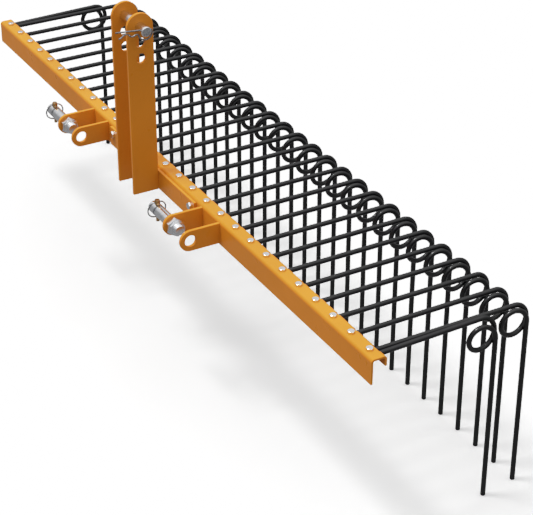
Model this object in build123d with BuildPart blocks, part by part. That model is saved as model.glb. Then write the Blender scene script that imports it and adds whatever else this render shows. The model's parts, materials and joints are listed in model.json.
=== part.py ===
"""Lawn dethatcher for a tractor's three-point hitch, in millimetres.

A channel-section rake bar carries a row of coil-spring tines under its flange. A two-plate mast takes the
tractor's top link, and two clevises with hitch pins take the lower links.
+Y is the machine's rear and +Z is up. +X runs along the bar, to the right for someone who stands in front of
the machine and looks at it; "left" and "right" in names are that person's. The origin is under the middle of
the machine, on the ground that the tine tips touch.
"""

import os
from math import atan2, cos, degrees, radians, sin, sqrt, tan

from build123d import *

# Rake bar: bent sheet channel, open below
BAR_LENGTH = 1524.0
BAR_DEPTH = 28.6
WEB_HEIGHT = 45.9
LIP_HEIGHT = 18.3
SHEET = 3.5
BEND_RADIUS = 6.0
BAR_TOP = 358.0
BAR_FRONT = -119.0

# Tine bolts in one row along the flange
TINE_COUNT = 28
TINE_PITCH = 54.4
TINE_BOLT_Y = BAR_FRONT + 13.8
TINE_BOLT_R = 3.175
TINE_BOLT_LENGTH = 25.4
TINE_BOLT_HEAD = 11.1
TINE_BOLT_HEAD_HEIGHT = 4.1
TINE_NUT_HEIGHT = 5.6
WASHER_R = 7.9
WASHER_THICKNESS = 1.6
HOLE_PLAY = 0.09
THREAD_PLAY = 0.03

# Coil-spring tines
WIRE_R = 4.45
ARM_SIDE_SHIFT = 4.4
ARM_Z = BAR_TOP - 8.2
ARM_START_Y = BAR_FRONT + 27.0
COIL_Y = BAR_FRONT + 293.0
SHORT_COIL_Y = BAR_FRONT + 219.3
SHORT_ARM_RISE = 3.9
COIL_R = 25.2
COIL_TURN = 450.0
COIL_STEPS = 10
COIL_RUN_X = 1.4
COIL_DRIFT = (-6.6, -2.9)
SHORT_COIL_DRIFT = (-4.5, -10.0)
SHORT_ARM_GAP = 11.0
PADDLE_R = 7.5
TIP_FILLET = 1.6
SIDE_PLAY = 0.05

# Notches in the bar's rear bend that let the tine arms out
NOTCH_FRONT_Y = BAR_FRONT + 24.0
NOTCH_DEPTH = 14.0
NOTCH_MARGIN = 0.6

# Mast and its mounting plate
PLATE_THICKNESS = 6.0
PLATE_EDGE = 0.8
MAST_GAP = 56.0
MAST_WIDTH = 50.8
MAST_HOLE_TOP_Z = BAR_TOP + 286.2
MAST_HOLE_SPACING = 30.0
MAST_HOLE_COUNT = 3
MAST_HOLE_R = 9.6
CENTRE_PLATE_LENGTH = 356.0
CENTRE_PLATE_TOP = BAR_TOP - 4.3
CENTRE_PLATE_BOTTOM = BAR_TOP - 42.5
CENTRE_PLATE_THICKNESS = 5.0
CENTRE_BOLT_X = 164.0
CENTRE_BOLT_Z = BAR_TOP - 16.0
CENTRE_BOLT_R = 3.97
CENTRE_BOLT_LENGTH = 22.2
CENTRE_BOLT_HEAD = 12.7
CENTRE_BOLT_HEAD_HEIGHT = 5.3
CENTRE_NUT_HEIGHT = 6.7
WELD_LEG = 5.0

# Top link pin and its spring clip, whose points are (Y, Z) from the pin's axis
TOP_PIN_R = 9.52
TOP_PIN_REACH = 27.0
TOP_PIN_HEAD_R = 14.0
TOP_PIN_HEAD_LENGTH = 6.0
TOP_PIN_HEAD_EDGE = 1.5
TOP_PIN_CHAMFER = 1.2
CLIP_WIRE_R = 1.5
CLIP_X = MAST_GAP / 2 + PLATE_THICKNESS + 18.8
CLIP_HOLE_R = 1.56
CLIP_LEG_FREE = (-55.5, 6.8)
CLIP_LEG_END = (10.2, 0.72)
CLIP_LOOP_R = 13.2
CLIP_LOOP_CENTRE = (1.2, -3.9)
CLIP_LOOP_LEAVES = 75.0
CLIP_WAVE = [(-15.5, -4.3), (-23.6, -6.4), (-35.7, 0.2), (-49.7, -5.8)]

# Clevises on the bar's front, one for each lower link
CLEVIS_X = 231.7
CLEVIS_GAP = 59.4
EAR_R = 20.0
EAR_AXIS_Y = BAR_FRONT - 57.7
EAR_AXIS_Z = BAR_TOP - 22.5
EAR_HOLE_R = 11.2

# Hitch pins, each fastened in its clevis's left ear
HITCH_PIN_R = 11.1
HITCH_PIN_REACH = 76.0
HITCH_PIN_CHAMFER = 2.0
COLLAR_R = 14.5
COLLAR_LENGTH = 5.0
THREAD_R = 9.9
THREAD_PITCH = 2.5
THREAD_DEPTH = 0.7
THREAD_END_CHAMFER = 1.2
HITCH_NUT_ACROSS = 30.0
HITCH_NUT_HEIGHT = 11.0
JAM_NUT_ACROSS = 27.0
JAM_NUT_HEIGHT = 5.7
NUT_JOINT = 0.8
STUB_LENGTH = 7.0

# Linchpins that hold the lower links on the hitch pins
LINCHPIN_INSET = 17.0
LINCHPIN_R = 3.25
LINCHPIN_HOLE_R = 3.33
LINCHPIN_BELOW = 23.5
LINCHPIN_NOSE = 1.6
HEAD_R = 5.5
HEAD_HEIGHT = 9.0
HEAD_CROWN = 1.3
RING_WIRE_R = 1.25
RING_HOLE_R = 1.31
RING_R = 17.5
RING_CORNER_R = 5.0
RING_LEAN = 11.0

# Shared
HEX_FACE_SHARE = 0.95
HEX_CHAMFER_ANGLE = 30.0
CONTACT_GAP = 0.05
THROUGH = 60.0

tine_bolt_xs = [(i - (TINE_COUNT - 1) / 2) * TINE_PITCH for i in range(TINE_COUNT)]
centre_bolt_xs = (-CENTRE_BOLT_X, CENTRE_BOLT_X)
mast_plate_y = BAR_FRONT - CENTRE_PLATE_THICKNESS - MAST_WIDTH / 2
mast_hole_zs = [MAST_HOLE_TOP_Z - i * MAST_HOLE_SPACING for i in range(MAST_HOLE_COUNT)]
clevises = {"left": -CLEVIS_X, "right": CLEVIS_X}

os.makedirs("parts", exist_ok=True)


def save(piece, label):
    """Labels a finished piece and writes it as the STEP file of its node."""
    piece.label = label
    export_step(piece, f"parts/{label}.step")


def arm_offsets(index):
    """The X offsets from its bolt of each tine arm that leaves the bar behind one bolt."""
    offsets = [-ARM_SIDE_SHIFT]
    if index == 0:
        offsets.append(-ARM_SIDE_SHIFT - SHORT_ARM_GAP)
    if index == TINE_COUNT - 1:
        offsets.append(-ARM_SIDE_SHIFT + SHORT_ARM_GAP)
    return offsets


# Rake bar ---------------------------------------------------------------------------------------------
with BuildPart() as rake_bar:
    with BuildSketch(Plane.YZ.offset(-BAR_LENGTH / 2)) as channel:
        with BuildLine():
            Polyline(
                (BAR_FRONT, BAR_TOP - WEB_HEIGHT),
                (BAR_FRONT, BAR_TOP),
                (BAR_FRONT + BAR_DEPTH, BAR_TOP),
                (BAR_FRONT + BAR_DEPTH, BAR_TOP - LIP_HEIGHT),
                (BAR_FRONT + BAR_DEPTH - SHEET, BAR_TOP - LIP_HEIGHT),
                (BAR_FRONT + BAR_DEPTH - SHEET, BAR_TOP - SHEET),
                (BAR_FRONT + SHEET, BAR_TOP - SHEET),
                (BAR_FRONT + SHEET, BAR_TOP - WEB_HEIGHT),
                close=True,
            )
        make_face()
        fillet(channel.vertices().group_by(Axis.Y)[-1], BEND_RADIUS)
        inner_corners = channel.vertices().filter_by_position(Axis.Y, BAR_TOP - SHEET, BAR_TOP - SHEET)
        fillet(inner_corners, BEND_RADIUS - SHEET)
    extrude(amount=BAR_LENGTH)
    with Locations([(x, TINE_BOLT_Y, BAR_TOP) for x in tine_bolt_xs]):
        Hole(TINE_BOLT_R + HOLE_PLAY, depth=BEND_RADIUS)
    with Locations([Plane((x, BAR_FRONT, CENTRE_BOLT_Z), z_dir=(0, -1, 0)) for x in centre_bolt_xs]):
        Hole(CENTRE_BOLT_R + HOLE_PLAY, depth=BEND_RADIUS)
    for index, bolt_x in enumerate(tine_bolt_xs):
        offsets = arm_offsets(index)
        notch_left = bolt_x + min(offsets) - WIRE_R - NOTCH_MARGIN
        notch_right = bolt_x + max(offsets) + WIRE_R + NOTCH_MARGIN
        with Locations((notch_left, NOTCH_FRONT_Y, BAR_TOP - NOTCH_DEPTH)):
            Box(
                notch_right - notch_left,
                BAR_DEPTH,
                NOTCH_DEPTH,
                align=(Align.MIN, Align.MIN, Align.MIN),
                mode=Mode.SUBTRACT,
            )
save(rake_bar.part, "rake_bar")


# Tines ------------------------------------------------------------------------------------------------
def coil_points(start, rise, run_x, drift):
    """Points along a coil that starts over the top, rising by `rise` degrees, and ends straight down.

    The radius varies round the turn, so that each turn lands `drift` (in Y and Z) from the last. The first
    and last steps move half as far sideways, which leaves the arm and the leg square to the bar.
    """
    points = []
    step_angle = (COIL_TURN + rise) / COIL_STEPS
    half = radians(step_angle / 2)
    turn_share = 8 * sin(half)
    drift_y, drift_z = drift
    point = start
    for step in range(COIL_STEPS):
        heading = radians((step + 0.5) * step_angle - rise)
        radius = COIL_R + (drift_y * cos(heading) - drift_z * sin(heading)) / turn_share
        chord = 2 * radius * sin(half)
        side = run_x / 2 if step in (0, COIL_STEPS - 1) else run_x
        point = point + Vector(side, chord * cos(heading), -chord * sin(heading))
        points.append(point)
    return points


def make_tine(arm_x, coil_y, arm_rise, run_x, drift, paddle_top):
    """One tine whose bolt stands at X = 0: round wire with a coil, and a flat end drilled for the bolt."""
    start = Vector(arm_x, ARM_START_Y, ARM_Z)
    top = Vector(arm_x, coil_y, ARM_Z + arm_rise)
    rise = degrees(atan2(arm_rise, coil_y - ARM_START_Y))
    with BuildPart() as tine:
        with BuildLine() as path:
            last = Line(start, top)
            for point in coil_points(top, rise, run_x, drift):
                last = TangentArc(last @ 1, point, tangent=last % 1)
            foot = last @ 1
            Line(foot, (foot.X, foot.Y, 0))
        with BuildSketch(Plane(start, z_dir=(0, 1, 0))):
            Circle(WIRE_R)
        sweep(path=path.line)
        fillet(tine.faces().sort_by(Axis.Z)[0].edges(), TIP_FILLET)
        with BuildSketch(Plane.XY.offset(paddle_top)):
            with Locations((0, TINE_BOLT_Y)):
                Circle(PADDLE_R)
            with Locations((arm_x, ARM_START_Y)):
                Rectangle(2 * WIRE_R, 2 * WIRE_R, align=(Align.CENTER, Align.MAX))
            make_hull()
            with Locations((0, TINE_BOLT_Y)):
                Circle(TINE_BOLT_R + HOLE_PLAY, mode=Mode.SUBTRACT)
        extrude(amount=-WIRE_R + SIDE_PLAY)
    return tine.part


regular_tine = make_tine(-ARM_SIDE_SHIFT, COIL_Y, 0, COIL_RUN_X, COIL_DRIFT, ARM_Z + WIRE_R)
for index, bolt_x in enumerate(tine_bolt_xs):
    with BuildPart() as tine:
        with Locations((bolt_x, 0, 0)):
            add(regular_tine)
    save(tine.part, f"tine_{index + 1:02d}")

end_tines = {
    "left": (tine_bolt_xs[0], arm_offsets(0)[-1], -COIL_RUN_X),
    "right": (tine_bolt_xs[-1], arm_offsets(TINE_COUNT - 1)[-1], COIL_RUN_X),
}
for side, (bolt_x, arm_x, run_x) in end_tines.items():
    short_tine = make_tine(arm_x, SHORT_COIL_Y, SHORT_ARM_RISE, run_x, SHORT_COIL_DRIFT, ARM_Z)
    with BuildPart() as end_tine:
        with Locations((bolt_x, 0, 0)):
            add(short_tine)
    save(end_tine.part, f"end_tine_{side}")


# Tine bolts, washers and nuts -------------------------------------------------------------------------
def make_hexagon(across_flats, height, bore_r=0.0):
    """A bolt head or nut standing on its own origin, its corners turned down at both ends."""
    flat_r = HEX_FACE_SHARE * across_flats / 2
    corner_r = across_flats / sqrt(3)
    slope = (corner_r - flat_r) * tan(radians(HEX_CHAMFER_ANGLE))
    with BuildPart() as hexagon:
        with BuildSketch():
            RegularPolygon(across_flats / 2, 6, major_radius=False)
        extrude(amount=height)
        with BuildSketch(Plane.XZ):
            with BuildLine():
                Polyline(
                    (0, 0),
                    (flat_r, 0),
                    (corner_r, slope),
                    (corner_r, height - slope),
                    (flat_r, height),
                    (0, height),
                    close=True,
                )
            make_face()
        revolve(axis=Axis.Z, mode=Mode.INTERSECT)
        if bore_r:
            Cylinder(bore_r, height, align=(Align.CENTER, Align.CENTER, Align.MIN), mode=Mode.SUBTRACT)
    return hexagon.part


def stack_z(index):
    """The height of the underside of the tine ends clamped by one bolt."""
    paddles = len(arm_offsets(index))
    return ARM_Z + WIRE_R - paddles * WIRE_R


tine_bolt_head = make_hexagon(TINE_BOLT_HEAD, TINE_BOLT_HEAD_HEIGHT)
with BuildPart() as tine_bolts:
    for bolt_x in tine_bolt_xs:
        with Locations((bolt_x, TINE_BOLT_Y, BAR_TOP)):
            add(tine_bolt_head)
            Cylinder(TINE_BOLT_R, TINE_BOLT_LENGTH, align=(Align.CENTER, Align.CENTER, Align.MAX))
save(tine_bolts.part, "tine_bolts")

with BuildPart() as tine_washers:
    for index, bolt_x in enumerate(tine_bolt_xs):
        with BuildSketch(Plane((bolt_x, TINE_BOLT_Y, stack_z(index)))):
            Circle(WASHER_R)
            Circle(TINE_BOLT_R + HOLE_PLAY, mode=Mode.SUBTRACT)
        extrude(amount=-WASHER_THICKNESS)
save(tine_washers.part, "tine_washers")

tine_nut = make_hexagon(TINE_BOLT_HEAD, TINE_NUT_HEIGHT, TINE_BOLT_R + THREAD_PLAY)
with BuildPart() as tine_nuts:
    for index, bolt_x in enumerate(tine_bolt_xs):
        with Locations((bolt_x, TINE_BOLT_Y, stack_z(index) - WASHER_THICKNESS - TINE_NUT_HEIGHT)):
            add(tine_nut)
save(tine_nuts.part, "tine_nuts")

# Centre plate, its bolts, and the mast ----------------------------------------------------------------
with BuildPart() as centre_plate:
    with BuildSketch(Plane((0, BAR_FRONT, CENTRE_PLATE_BOTTOM), x_dir=(1, 0, 0), z_dir=(0, -1, 0))):
        plate_height = CENTRE_PLATE_TOP - CENTRE_PLATE_BOTTOM
        Rectangle(CENTRE_PLATE_LENGTH, plate_height, align=(Align.CENTER, Align.MIN))
        with Locations([(x, CENTRE_BOLT_Z - CENTRE_PLATE_BOTTOM) for x in centre_bolt_xs]):
            Circle(CENTRE_BOLT_R + HOLE_PLAY, mode=Mode.SUBTRACT)
    extrude(amount=CENTRE_PLATE_THICKNESS)
    front_edges = centre_plate.faces().sort_by(Axis.Y)[0].edges()
    fillet(front_edges.filter_by(GeomType.LINE), PLATE_EDGE)
save(centre_plate.part, "centre_plate")

centre_bolt_head = make_hexagon(CENTRE_BOLT_HEAD, CENTRE_BOLT_HEAD_HEIGHT)
with BuildPart() as centre_plate_bolts:
    for bolt_x in centre_bolt_xs:
        with Locations(Plane((bolt_x, BAR_FRONT - CENTRE_PLATE_THICKNESS, CENTRE_BOLT_Z), z_dir=(0, -1, 0))):
            add(centre_bolt_head)
            Cylinder(CENTRE_BOLT_R, CENTRE_BOLT_LENGTH, align=(Align.CENTER, Align.CENTER, Align.MAX))
save(centre_plate_bolts.part, "centre_plate_bolts")

centre_nut = make_hexagon(CENTRE_BOLT_HEAD, CENTRE_NUT_HEIGHT, CENTRE_BOLT_R + THREAD_PLAY)
with BuildPart() as centre_plate_nuts:
    for bolt_x in centre_bolt_xs:
        with Locations(Plane((bolt_x, BAR_FRONT + SHEET, CENTRE_BOLT_Z), z_dir=(0, 1, 0))):
            add(centre_nut)
save(centre_plate_nuts.part, "centre_plate_nuts")

mast_plates = {"left": -MAST_GAP / 2 - PLATE_THICKNESS, "right": MAST_GAP / 2}
for side, plate_x in mast_plates.items():
    with BuildPart() as mast_plate:
        with BuildSketch(Plane.YZ.offset(plate_x)):
            with Locations((mast_plate_y, MAST_HOLE_TOP_Z)):
                Rectangle(MAST_WIDTH, MAST_HOLE_TOP_Z - CENTRE_PLATE_BOTTOM, align=(Align.CENTER, Align.MAX))
                Circle(MAST_WIDTH / 2)
        extrude(amount=PLATE_THICKNESS)
        fillet(mast_plate.edges(), PLATE_EDGE)
        with BuildSketch(Plane.YZ.offset(plate_x)):
            with Locations([(mast_plate_y, z) for z in mast_hole_zs]):
                Circle(MAST_HOLE_R)
        extrude(amount=PLATE_THICKNESS, mode=Mode.SUBTRACT)
    save(mast_plate.part, f"mast_plate_{side}")


with BuildPart() as mast_welds:
    for plate_x in mast_plates.values():
        with BuildSketch(Plane((plate_x, BAR_FRONT - CENTRE_PLATE_THICKNESS, CENTRE_PLATE_BOTTOM))):
            Circle(WELD_LEG)
            Rectangle(WELD_LEG, WELD_LEG, align=(Align.MAX, Align.MAX), mode=Mode.INTERSECT)
        extrude(amount=CENTRE_PLATE_TOP - CENTRE_PLATE_BOTTOM)
save(mast_welds.part, "mast_welds")


# Top link pin and clip --------------------------------------------------------------------------------
def clip_point(place):
    """A point of the clip, given as its Y and Z from the top link pin's axis."""
    return Vector(CLIP_X, mast_plate_y + place[0], MAST_HOLE_TOP_Z + place[1])


with BuildPart() as top_link_pin:
    head_face = -MAST_GAP / 2 - PLATE_THICKNESS - CONTACT_GAP
    pin_length = MAST_GAP / 2 + PLATE_THICKNESS + TOP_PIN_REACH - head_face
    with BuildSketch(Plane((head_face, mast_plate_y, MAST_HOLE_TOP_Z), z_dir=(1, 0, 0))):
        Circle(TOP_PIN_R)
    extrude(amount=pin_length)
    chamfer(top_link_pin.edges().sort_by(Axis.X)[-1], TOP_PIN_CHAMFER)
    with BuildSketch(Plane((head_face, mast_plate_y, MAST_HOLE_TOP_Z), z_dir=(-1, 0, 0))):
        Circle(TOP_PIN_HEAD_R)
    extrude(amount=TOP_PIN_HEAD_LENGTH)
    fillet(top_link_pin.edges().sort_by(Axis.X)[0], TOP_PIN_HEAD_EDGE)
    leg_slope = (CLIP_LEG_END[1] - CLIP_LEG_FREE[1]) / (CLIP_LEG_END[0] - CLIP_LEG_FREE[0])
    leg_middle = clip_point((0, CLIP_LEG_END[1] - leg_slope * CLIP_LEG_END[0]))
    with Locations(Plane(leg_middle, z_dir=(0, 1, leg_slope))):
        Cylinder(CLIP_HOLE_R, THROUGH, mode=Mode.SUBTRACT)
save(top_link_pin.part, "top_link_pin")

with BuildPart() as top_pin_clip:
    loop_y, loop_z = CLIP_LOOP_CENTRE
    leaving = radians(CLIP_LOOP_LEAVES)
    route = [
        (loop_y + CLIP_LOOP_R, loop_z),
        (loop_y, loop_z - CLIP_LOOP_R),
        (loop_y - CLIP_LOOP_R * sin(leaving), loop_z - CLIP_LOOP_R * cos(leaving)),
        CLIP_WAVE[0],
    ]
    for crest, trough in zip(CLIP_WAVE, CLIP_WAVE[1:]):
        route.append(((crest[0] + trough[0]) / 2, (crest[1] + trough[1]) / 2))
        route.append(trough)
    with BuildLine() as clip_path:
        last = Line(clip_point(CLIP_LEG_FREE), clip_point(CLIP_LEG_END))
        for place in route:
            last = TangentArc(last @ 1, clip_point(place), tangent=last % 1)
    with BuildSketch(Plane(clip_path.line @ 0, z_dir=clip_path.line % 0)):
        Circle(CLIP_WIRE_R)
    sweep(path=clip_path.line)
save(top_pin_clip.part, "top_pin_clip")

# Clevises ---------------------------------------------------------------------------------------------
ear_offsets = {"left": -CLEVIS_GAP / 2 - PLATE_THICKNESS, "right": CLEVIS_GAP / 2}
for side, clevis_x in clevises.items():
    for ear_side, offset_x in ear_offsets.items():
        with BuildPart() as ear:
            with BuildSketch(Plane.YZ.offset(clevis_x + offset_x)):
                with Locations((EAR_AXIS_Y, EAR_AXIS_Z)):
                    Circle(EAR_R)
                    Rectangle(BAR_FRONT - EAR_AXIS_Y, 2 * EAR_R, align=(Align.MIN, Align.CENTER))
            extrude(amount=PLATE_THICKNESS)
            fillet(ear.edges().filter_by(lambda edge: edge.center().Y < BAR_FRONT - PLATE_EDGE), PLATE_EDGE)
            with BuildSketch(Plane.YZ.offset(clevis_x + offset_x)):
                with Locations((EAR_AXIS_Y, EAR_AXIS_Z)):
                    Circle(EAR_HOLE_R)
            extrude(amount=PLATE_THICKNESS, mode=Mode.SUBTRACT)
        save(ear.part, f"clevis_{side}_{ear_side}_ear")

with BuildPart() as clevis_welds:
    weld_bottom = EAR_AXIS_Z - EAR_R + PLATE_EDGE
    for clevis_x in clevises.values():
        for offset_x in ear_offsets.values():
            with BuildSketch(Plane((clevis_x + offset_x, BAR_FRONT, weld_bottom))):
                Circle(WELD_LEG)
                Rectangle(WELD_LEG, WELD_LEG, align=(Align.MAX, Align.MAX), mode=Mode.INTERSECT)
            extrude(amount=BAR_TOP - BEND_RADIUS - weld_bottom)
save(clevis_welds.part, "clevis_welds")

# Hitch pins, their nuts and linchpins -----------------------------------------------------------------
thread_start = PLATE_THICKNESS
thread_end = PLATE_THICKNESS + HITCH_NUT_HEIGHT + NUT_JOINT + JAM_NUT_HEIGHT + STUB_LENGTH


def hitch_pin_outline():
    """Half the hitch pin's outline as (distance inwards from the ear's outer face, radius) pairs."""
    outline = [
        (-HITCH_PIN_REACH, 0),
        (-HITCH_PIN_REACH, HITCH_PIN_R - HITCH_PIN_CHAMFER),
        (-HITCH_PIN_REACH + HITCH_PIN_CHAMFER, HITCH_PIN_R),
        (-COLLAR_LENGTH, HITCH_PIN_R),
        (-COLLAR_LENGTH, COLLAR_R),
        (0, COLLAR_R),
        (0, HITCH_PIN_R),
        (thread_start, HITCH_PIN_R),
        (thread_start, THREAD_R),
    ]
    crest = thread_end - STUB_LENGTH
    while crest + THREAD_PITCH < thread_end:
        outline.append((crest, THREAD_R))
        outline.append((crest + THREAD_PITCH / 2, THREAD_R - THREAD_DEPTH))
        crest += THREAD_PITCH
    outline.append((crest, THREAD_R))
    outline.append((thread_end, THREAD_R - THREAD_END_CHAMFER))
    outline.append((thread_end, 0))
    return outline


hitch_nut_blank = make_hexagon(HITCH_NUT_ACROSS, HITCH_NUT_HEIGHT, THREAD_R + THREAD_PLAY)
jam_nut_blank = make_hexagon(JAM_NUT_ACROSS, JAM_NUT_HEIGHT, THREAD_R + THREAD_PLAY)
for side, clevis_x in clevises.items():
    face_x = clevis_x + ear_offsets["left"]
    linchpin_x = face_x - HITCH_PIN_REACH + LINCHPIN_INSET
    head_bottom = HITCH_PIN_R + CONTACT_GAP
    head_top = head_bottom + HEAD_HEIGHT
    hinge_z = EAR_AXIS_Z + head_bottom + HEAD_HEIGHT / 2
    with BuildPart() as hitch_pin:
        with BuildSketch(Plane((face_x, EAR_AXIS_Y, EAR_AXIS_Z), x_dir=(1, 0, 0), z_dir=(0, -1, 0))):
            with BuildLine():
                Polyline(*hitch_pin_outline(), close=True)
            make_face()
        revolve(axis=Axis((face_x, EAR_AXIS_Y, EAR_AXIS_Z), (1, 0, 0)))
        with Locations((linchpin_x, EAR_AXIS_Y, EAR_AXIS_Z)):
            Cylinder(LINCHPIN_HOLE_R, THROUGH, mode=Mode.SUBTRACT)
    save(hitch_pin.part, f"hitch_pin_{side}")

    with BuildPart() as hitch_pin_nut:
        with Locations(Plane((face_x + PLATE_THICKNESS, EAR_AXIS_Y, EAR_AXIS_Z), z_dir=(1, 0, 0))):
            add(hitch_nut_blank)
    save(hitch_pin_nut.part, f"hitch_pin_nut_{side}")

    jam_x = face_x + PLATE_THICKNESS + HITCH_NUT_HEIGHT + NUT_JOINT
    with BuildPart() as jam_nut:
        with Locations(Plane((jam_x, EAR_AXIS_Y, EAR_AXIS_Z), z_dir=(1, 0, 0))):
            add(jam_nut_blank)
    save(jam_nut.part, f"jam_nut_{side}")

    with BuildPart() as linchpin:
        with BuildSketch(Plane((linchpin_x, EAR_AXIS_Y, EAR_AXIS_Z), x_dir=(1, 0, 0), z_dir=(0, -1, 0))):
            with BuildLine():
                foot = Line((0, -LINCHPIN_BELOW), (LINCHPIN_R - LINCHPIN_NOSE, -LINCHPIN_BELOW))
                nose = TangentArc(foot @ 1, (LINCHPIN_R, -LINCHPIN_BELOW + LINCHPIN_NOSE), tangent=(1, 0))
                shank = Line(nose @ 1, (LINCHPIN_R, head_bottom))
                shoulder = Line(shank @ 1, (HEAD_R - HEAD_CROWN, head_bottom))
                barrel = ThreePointArc(
                    shoulder @ 1,
                    (HEAD_R, head_bottom + HEAD_HEIGHT / 2),
                    (HEAD_R - HEAD_CROWN, head_top),
                )
                crown = Line(barrel @ 1, (0, head_top))
                Line(crown @ 1, foot @ 0)
            make_face()
        revolve(axis=Axis((linchpin_x, EAR_AXIS_Y, EAR_AXIS_Z), (0, 0, 1)))
        with Locations(Plane((linchpin_x, EAR_AXIS_Y, hinge_z), z_dir=(0, 1, 0))):
            Cylinder(RING_HOLE_R, THROUGH, mode=Mode.SUBTRACT)
    save(linchpin.part, f"linchpin_{side}")

    corner_y = HEAD_R
    centre_drop = RING_CORNER_R + sqrt((RING_R - RING_CORNER_R) ** 2 - corner_y**2)
    corner_turn = atan2(corner_y, centre_drop - RING_CORNER_R)
    lean = radians(RING_LEAN)

    def ring_point(y, drop):
        """A point in the leaning plane of the ring, drop below its hinge line."""
        return Vector(linchpin_x - drop * sin(lean), EAR_AXIS_Y + y, hinge_z - drop * cos(lean))

    with BuildPart() as linchpin_ring:
        shoulder_y = RING_R * sin(corner_turn)
        shoulder_drop = centre_drop - RING_R * cos(corner_turn)
        with BuildLine() as ring_path:
            last = Line(ring_point(-corner_y, 0), ring_point(corner_y, 0))
            ring_bottom = (0, centre_drop + RING_R)
            ring_stops = [(shoulder_y, shoulder_drop), ring_bottom, (-shoulder_y, shoulder_drop)]
            for y, drop in ring_stops:
                last = TangentArc(last @ 1, ring_point(y, drop), tangent=last % 1)
            TangentArc(last @ 1, ring_point(-corner_y, 0), tangent=last % 1)
        with BuildSketch(Plane(ring_point(-corner_y, 0), z_dir=(0, 1, 0))):
            Circle(RING_WIRE_R)
        sweep(path=ring_path.line)
    save(linchpin_ring.part, f"linchpin_ring_{side}")
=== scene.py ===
"""Looks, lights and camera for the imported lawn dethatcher, in metres, in the CAD's own frame."""

import json
import math

import bpy
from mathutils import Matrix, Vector

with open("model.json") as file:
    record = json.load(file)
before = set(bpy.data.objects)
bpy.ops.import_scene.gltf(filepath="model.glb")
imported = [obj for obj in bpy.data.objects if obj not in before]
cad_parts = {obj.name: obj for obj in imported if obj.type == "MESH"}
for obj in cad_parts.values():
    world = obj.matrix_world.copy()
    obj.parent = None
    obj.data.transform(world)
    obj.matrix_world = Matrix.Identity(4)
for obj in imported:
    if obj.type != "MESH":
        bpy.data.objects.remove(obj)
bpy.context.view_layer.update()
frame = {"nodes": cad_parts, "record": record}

scene = bpy.context.scene
nodes = frame["nodes"]


# Shader helpers ---------------------------------------------------------------------------------------
class Shader:
    """A node material under construction, with short calls for the nodes that the finishes share."""

    def __init__(self, name):
        self.material = bpy.data.materials.new(name)
        self.material.use_nodes = True
        self.tree = self.material.node_tree
        self.surface = self.tree.nodes["Principled BSDF"]
        self.place = self.node("ShaderNodeTexCoord").outputs["Object"]

    def node(self, kind, **settings):
        made = self.tree.nodes.new(kind)
        for key, value in settings.items():
            setattr(made, key, value)
        return made

    def link(self, source, target):
        self.tree.links.new(source, target)

    def stretched(self, scale):
        """The object's coordinates, scaled by axis."""
        mapping = self.node("ShaderNodeMapping")
        mapping.inputs["Scale"].default_value = scale
        self.link(self.place, mapping.inputs["Vector"])
        return mapping.outputs["Vector"]

    def noise(self, scale, detail=3.0, roughness=0.5, place=None):
        made = self.node("ShaderNodeTexNoise")
        made.inputs["Scale"].default_value = scale
        made.inputs["Detail"].default_value = detail
        made.inputs["Roughness"].default_value = roughness
        self.link(place or self.place, made.inputs["Vector"])
        return made.outputs["Fac"]

    def cells(self, scale):
        made = self.node("ShaderNodeTexVoronoi")
        made.inputs["Scale"].default_value = scale
        self.link(self.place, made.inputs["Vector"])
        return made.outputs["Color"]

    def remap(self, value, low, high, to_low=0.0, to_high=1.0):
        made = self.node("ShaderNodeMapRange")
        for key, number in (("From Min", low), ("From Max", high), ("To Min", to_low), ("To Max", to_high)):
            made.inputs[key].default_value = number
        self.link(value, made.inputs["Value"])
        return made.outputs["Result"]

    def math(self, operation, a, b):
        made = self.node("ShaderNodeMath", operation=operation)
        for socket, value in zip(made.inputs, (a, b)):
            if isinstance(value, (int, float)):
                socket.default_value = value
            else:
                self.link(value, socket)
        return made.outputs["Value"]

    def mix(self, factor, a, b):
        """A colour between a and b, each a colour or a socket."""
        made = self.node("ShaderNodeMix", data_type="RGBA")
        self.link(factor, made.inputs["Factor"])
        for socket, value in ((made.inputs[6], a), (made.inputs[7], b)):
            if isinstance(value, tuple):
                socket.default_value = (*value, 1.0)
            else:
                self.link(value, socket)
        return made.outputs[2]

    def edges(self, radius):
        """How near a point is to an edge: 0 on a flat face, towards 1 on an edge."""
        bevel = self.node("ShaderNodeBevel", samples=4)
        bevel.inputs["Radius"].default_value = radius
        geometry = self.node("ShaderNodeNewGeometry")
        dot = self.node("ShaderNodeVectorMath", operation="DOT_PRODUCT")
        self.link(bevel.outputs["Normal"], dot.inputs[0])
        self.link(geometry.outputs["Normal"], dot.inputs[1])
        return self.remap(dot.outputs["Value"], 1.0, 0.8)

    def bump(self, height, distance, strength=1.0, below=None):
        made = self.node("ShaderNodeBump")
        made.inputs["Distance"].default_value = distance
        made.inputs["Strength"].default_value = strength
        self.link(height, made.inputs["Height"])
        if below is not None:
            self.link(below, made.inputs["Normal"])
        return made.outputs["Normal"]

    def finish(self, color, roughness, normal, **fixed):
        self.link(color, self.surface.inputs["Base Color"])
        self.link(roughness, self.surface.inputs["Roughness"])
        self.link(normal, self.surface.inputs["Normal"])
        for key, value in fixed.items():
            self.surface.inputs[key.replace("_", " ")].default_value = value
        return self.material


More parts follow.
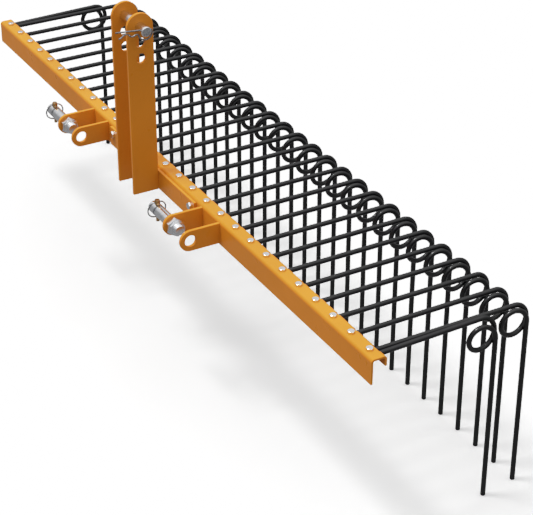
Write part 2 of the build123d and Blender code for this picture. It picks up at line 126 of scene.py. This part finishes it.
# Finishes ---------------------------------------------------------------------------------------------
def orange_enamel():
    """Glossy amber enamel: faint clouding, orange peel, a painted highlight with thinner paint along the
    edges, and small rubs along the edges.
    """
    shader = Shader("orange_enamel")
    cloud = shader.noise(7.0, 4.0)
    speck = shader.noise(420.0, 2.0)
    base = shader.mix(shader.remap(cloud, 0.35, 0.65), (0.66, 0.224, 0.019), (0.73, 0.250, 0.023))
    base = shader.mix(shader.remap(speck, 0.62, 0.75, 0.0, 0.25), base, (0.52, 0.165, 0.012))
    edge = shader.edges(0.0012)
    # Lighter yellow along the edges: a painted edge highlight, partly thinner paint, broken up by noise.
    thin_paint_and_highlight = shader.math("MULTIPLY", edge, shader.remap(shader.noise(90.0, 4.0), 0.35, 0.7))
    base = shader.mix(shader.math("MULTIPLY", thin_paint_and_highlight, 0.55), base, (0.85, 0.42, 0.07))
    worn_edge = shader.remap(edge, 0.35, 0.6)
    chip = shader.math("MULTIPLY", worn_edge, shader.remap(shader.noise(260.0, 5.0), 0.66, 0.7))
    base = shader.mix(chip, base, (0.16, 0.09, 0.05))
    rough = shader.remap(shader.noise(38.0, 5.0), 0.3, 0.7, 0.26, 0.38)
    peel = shader.bump(shader.noise(700.0, 2.0), 0.00004, 0.5)
    waves = shader.bump(shader.noise(45.0, 2.0), 0.00025, 0.25, below=peel)
    return shader.finish(base, rough, waves, Specular_IOR_Level=0.16)


def black_enamel():
    """Gloss black enamel on spring wire, with dust, fine runs and lighter scuffs."""
    shader = Shader("black_enamel")
    dust = shader.remap(shader.noise(60.0, 5.0), 0.45, 0.75)
    base = shader.mix(dust, (0.003, 0.003, 0.004), (0.008, 0.008, 0.008))
    scuff = shader.remap(shader.noise(900.0, 3.0), 0.66, 0.74, 0.0, 0.25)
    base = shader.mix(scuff, base, (0.04, 0.04, 0.04))
    rough = shader.remap(shader.noise(150.0, 4.0), 0.3, 0.7, 0.14, 0.24)
    peel = shader.bump(shader.noise(1100.0, 2.0), 0.00004, 0.5)
    return shader.finish(base, rough, peel, Specular_IOR_Level=0.40)


def plated(name, light, dark, low_rough, high_rough, grain):
    """Bright plate: metal with a slightly cloudy tone, faint crystals, fine grain and every edge lighter.
    """
    shader = Shader(name)
    cloud = shader.remap(shader.noise(180.0, 4.0), 0.35, 0.65)
    base = shader.mix(cloud, dark, light)
    spangle = shader.node("ShaderNodeSeparateColor")
    shader.link(shader.cells(900.0), spangle.inputs["Color"])
    crystals = shader.remap(spangle.outputs["Red"], 0.0, 1.0, 0.0, 0.05)
    base = shader.mix(crystals, base, tuple(0.72 * part for part in light))
    # Every edge evenly lighter, towards pale grey.
    base = shader.mix(shader.math("MULTIPLY", shader.edges(0.0006), 0.5), base, (0.90, 0.90, 0.90))
    rough = shader.remap(shader.noise(300.0, 4.0), 0.3, 0.7, low_rough, high_rough)
    lines = shader.bump(shader.noise(260.0, 3.0, place=shader.stretched(grain)), 0.00002, 0.12)
    return shader.finish(base, rough, lines, Metallic=1.0)


ROUND_X = (9.0, 1.0, 1.0)
ROUND_Z = (1.0, 1.0, 9.0)
EVEN = (3.0, 3.0, 3.0)

finishes = {
    "orange_paint": orange_enamel(),
    "black_spring_wire": black_enamel(),
    "bright_zinc": plated("bright_zinc", (0.88, 0.89, 0.91), (0.76, 0.77, 0.80), 0.14, 0.24, EVEN),
    "pin_zinc": plated("pin_zinc", (0.86, 0.87, 0.89), (0.72, 0.73, 0.76), 0.12, 0.22, ROUND_X),
    "yellow_zinc": plated("yellow_zinc", (0.60, 0.36, 0.15), (0.40, 0.22, 0.09), 0.18, 0.32, ROUND_Z),
    "spring_steel": plated("spring_steel", (0.34, 0.34, 0.35), (0.20, 0.20, 0.21), 0.18, 0.32, EVEN),
}
for part in frame["record"]["subparts"]:
    cad_object = nodes[part["node"]]
    cad_object.data.materials.clear()
    cad_object.data.materials.append(finishes[part["material_slot"]])


# Floor, lights and camera -----------------------------------------------------------------------------
def make_floor():
    """A wide pale floor that the tine tips touch. It lights nothing: the dome's lower half does that."""
    size = 30.0
    mesh = bpy.data.meshes.new("floor")
    corners = [(-size, -size, 0), (size, -size, 0), (size, size, 0), (-size, size, 0)]
    mesh.from_pydata(corners, [], [(0, 1, 2, 3)])
    floor = bpy.data.objects.new("floor", mesh)
    scene.collection.objects.link(floor)
    shader = Shader("pale_floor")
    tone = shader.mix(shader.noise(1.5, 2.0), (0.97, 0.97, 0.97), (0.98, 0.98, 0.98))
    rough = shader.remap(shader.noise(4.0, 2.0), 0.0, 1.0, 0.85, 0.95)
    grain = shader.bump(shader.noise(200.0, 2.0), 0.0001, 0.1)
    mesh.materials.append(shader.finish(tone, rough, grain, Specular_IOR_Level=0.1))
    floor.visible_diffuse = False
    floor.visible_glossy = False


def add_key_light():
    """A soft overhead key from the front and a little from the left."""
    data = bpy.data.lights.new("key", "SUN")
    data.energy = 1.2
    data.angle = math.radians(14.0)
    key = bpy.data.objects.new("key", data)
    key.rotation_euler = Vector((0.20, 0.30, -1.0)).to_track_quat("-Z", "Y").to_euler()
    scene.collection.objects.link(key)


def set_dome(zenith, horizon):
    """A studio dome, brightest overhead. Below the horizon it is even and stands for the floor's bounce."""
    world = bpy.data.worlds.new("studio")
    world.use_nodes = True
    tree = world.node_tree
    background = tree.nodes["Background"]
    background.inputs["Color"].default_value = (1.0, 1.0, 1.0, 1.0)
    place = tree.nodes.new("ShaderNodeTexCoord")
    split = tree.nodes.new("ShaderNodeSeparateXYZ")
    above = tree.nodes.new("ShaderNodeMath")
    above.operation = "MAXIMUM"
    above.inputs[1].default_value = 0.0
    square = tree.nodes.new("ShaderNodeMath")
    square.operation = "POWER"
    square.inputs[1].default_value = 2.0
    grade = tree.nodes.new("ShaderNodeMapRange")
    grade.inputs["To Min"].default_value = horizon
    grade.inputs["To Max"].default_value = zenith
    tree.links.new(place.outputs["Generated"], split.inputs["Vector"])
    tree.links.new(split.outputs["Z"], above.inputs[0])
    tree.links.new(above.outputs["Value"], square.inputs[0])
    tree.links.new(square.outputs["Value"], grade.inputs["Value"])
    tree.links.new(grade.outputs["Result"], background.inputs["Strength"])
    scene.world = world


def add_camera():
    """A long lens from the front right, above the machine."""
    data = bpy.data.cameras.new("camera")
    data.sensor_fit = "HORIZONTAL"
    data.sensor_width = 36.0
    data.lens = 115.2
    data.clip_end = 100.0
    camera = bpy.data.objects.new("camera", data)
    yaw, pitch = 1.060, 0.53325
    camera.location = (2.5695, -1.3158, 1.8168)
    forward = Vector((-math.sin(yaw) * math.cos(pitch), math.cos(yaw) * math.cos(pitch), -math.sin(pitch)))
    camera.rotation_euler = forward.to_track_quat("-Z", "Y").to_euler()
    scene.collection.objects.link(camera)
    scene.camera = camera


SHOULDER = [(0.23, 0.23), (0.39, 0.375), (0.72, 0.50), (1.0, 0.655)]


def set_tone():
    """Standard colour with a soft shoulder, so that bright paint turns amber and the floor stays white."""
    view = scene.view_settings
    view.view_transform = "Standard"
    view.exposure = 0.61
    view.use_curve_mapping = True
    mapping = view.curve_mapping
    mapping.clip_max_x = SHOULDER[-1][0]
    mapping.extend = "HORIZONTAL"
    shoulder = mapping.curves[3]
    shoulder.points[1].location = SHOULDER[-1]
    for light, shown in SHOULDER[:-1]:
        shoulder.points.new(light, shown)
    mapping.update()


make_floor()
set_dome(1.30, 0.20)
add_key_light()
add_camera()
set_tone()
